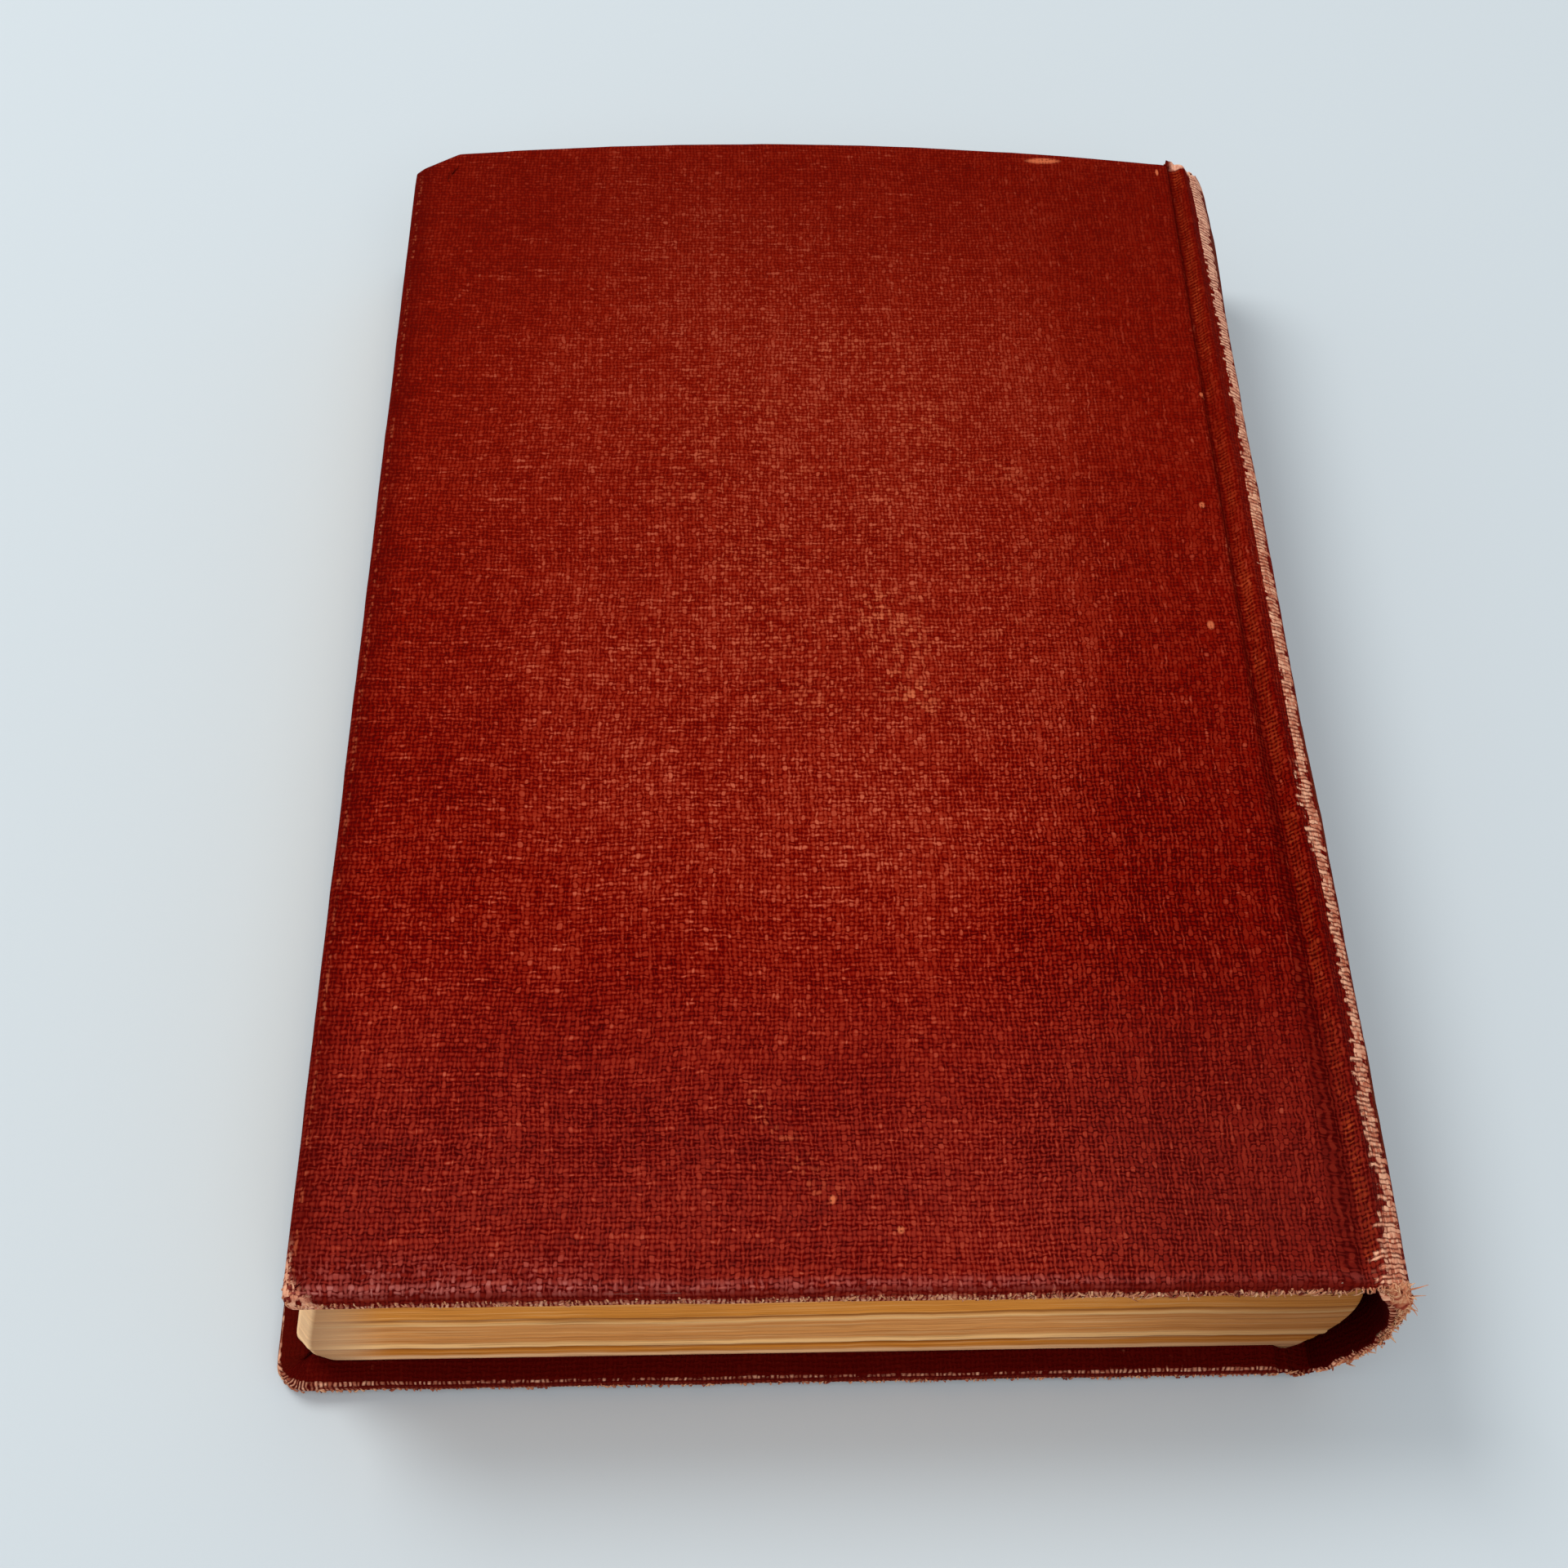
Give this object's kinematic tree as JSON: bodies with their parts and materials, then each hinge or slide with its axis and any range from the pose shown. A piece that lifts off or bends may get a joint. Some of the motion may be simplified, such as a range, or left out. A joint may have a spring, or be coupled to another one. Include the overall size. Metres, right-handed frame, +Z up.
{
  "type": "hardback book",
  "caption": "Worn cloth-covered hardback book lying closed on its front cover, with a rounded, cocked spine and covers that open on their joints.",
  "frame": {"origin": "middle of the closed book's bounding box, on the surface that it lies on", "axes": "+Y from tail to head, +X from fore-edge to spine, +Z up through the back cover"},
  "size_m": [0.1282, 0.1944, 0.0252],
  "materials": {
    "book_cloth": "coarse woven book cloth, matt, faded and frayed at the edges",
    "grey_board": "grey millboard",
    "spine_card": "thin brown card",
    "leaves": "browned cut page edges",
    "endpaper": "plain toned endpaper",
    "lining_paper": "glued brown paper"
  },
  "bodies": {
    "front_cover": {"front_board": "grey_board", "front_cover_cloth": "book_cloth", "front_pastedown": "endpaper"},
    "leaves_and_spine": {"text_block": "leaves", "spine_lining": "lining_paper", "spine_inlay": "spine_card", "spine_cloth": "book_cloth"},
    "back_cover": {"back_board": "grey_board", "back_cover_cloth": "book_cloth", "back_pastedown": "endpaper"}
  },
  "joints": [
    {"name": "front_joint", "type": "hinge", "parent": "front_cover", "child": "leaves_and_spine", "pos_m": [0.05353, 0, -0.00015], "axis": [0, 1, 0], "range_deg": [0, 180]},
    {"name": "back_joint", "type": "hinge", "parent": "leaves_and_spine", "child": "back_cover", "pos_m": [0.05758, 0, 0.02533], "axis": [0, 1, 0], "range_deg": [0, 180]}
  ]
}
